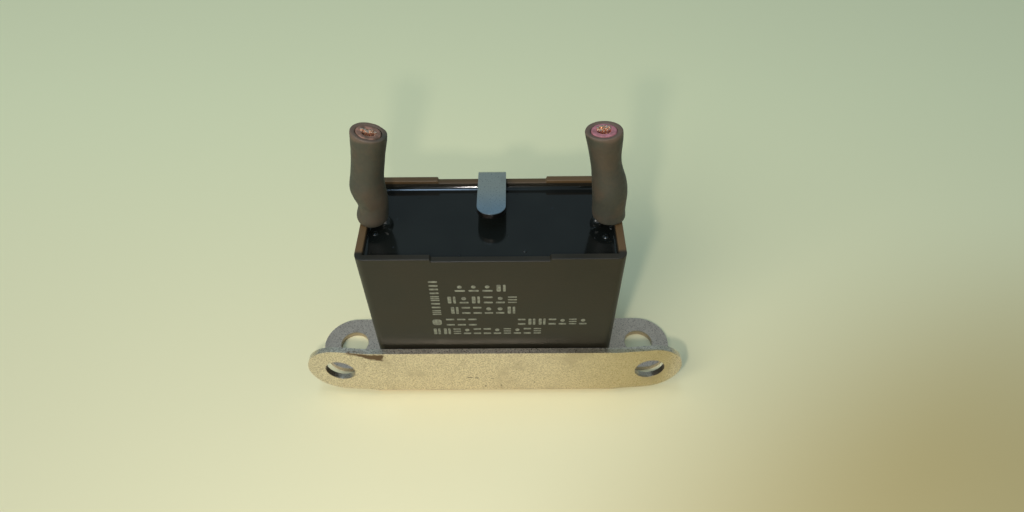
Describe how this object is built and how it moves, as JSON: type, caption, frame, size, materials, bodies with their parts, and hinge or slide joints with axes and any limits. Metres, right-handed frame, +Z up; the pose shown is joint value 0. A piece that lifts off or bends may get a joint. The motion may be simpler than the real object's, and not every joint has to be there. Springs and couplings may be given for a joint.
{
  "type": "box film capacitor",
  "caption": "AC film capacitor: potted black plastic box on a folded steel L bracket with holed ears and a tongue over the rim, with short cut leads in black sleeves.",
  "frame": {"origin": "on the mounting surface, under the middle of the box, midway between the front flange's face and the back strap's face", "axes": "+X along the box's long side, +Y from the front flange towards the back strap, +Z up out of the open top"},
  "size_m": [0.0568, 0.0184, 0.0446],
  "materials": {
    "moulded_case": "black moulded thermoplastic, semi-matt, slightly brown",
    "epoxy": "glossy black casting epoxy",
    "zinc_steel": "zinc-plated cold-rolled steel sheet, dulled, fine grained",
    "sleeve": "dull black heat-shrink tube",
    "insulation": "pink-red PVC, seen at the cut ends",
    "copper": "stranded copper, freshly cut ends",
    "film": "metallised polypropylene film, wound flat",
    "end_zinc": "sprayed zinc, rough grey",
    "tinned_strip": "tinned copper strip",
    "solder": "soft solder"
  },
  "bodies": {
    "root": {"case": "moulded_case", "potting_resin": "epoxy", "bracket": "zinc_steel", "sleeve_left": "sleeve", "sleeve_right": "sleeve", "insulation_left": "insulation", "insulation_right": "insulation", "conductor_left": "copper", "conductor_right": "copper", "film_winding": "film", "end_spray_left": "end_zinc", "end_spray_right": "end_zinc", "terminal_left": "tinned_strip", "terminal_right": "tinned_strip", "spray_joint_left": "solder", "spray_joint_right": "solder", "wire_joint_left": "solder", "wire_joint_right": "solder"}
  },
  "joints": []
}
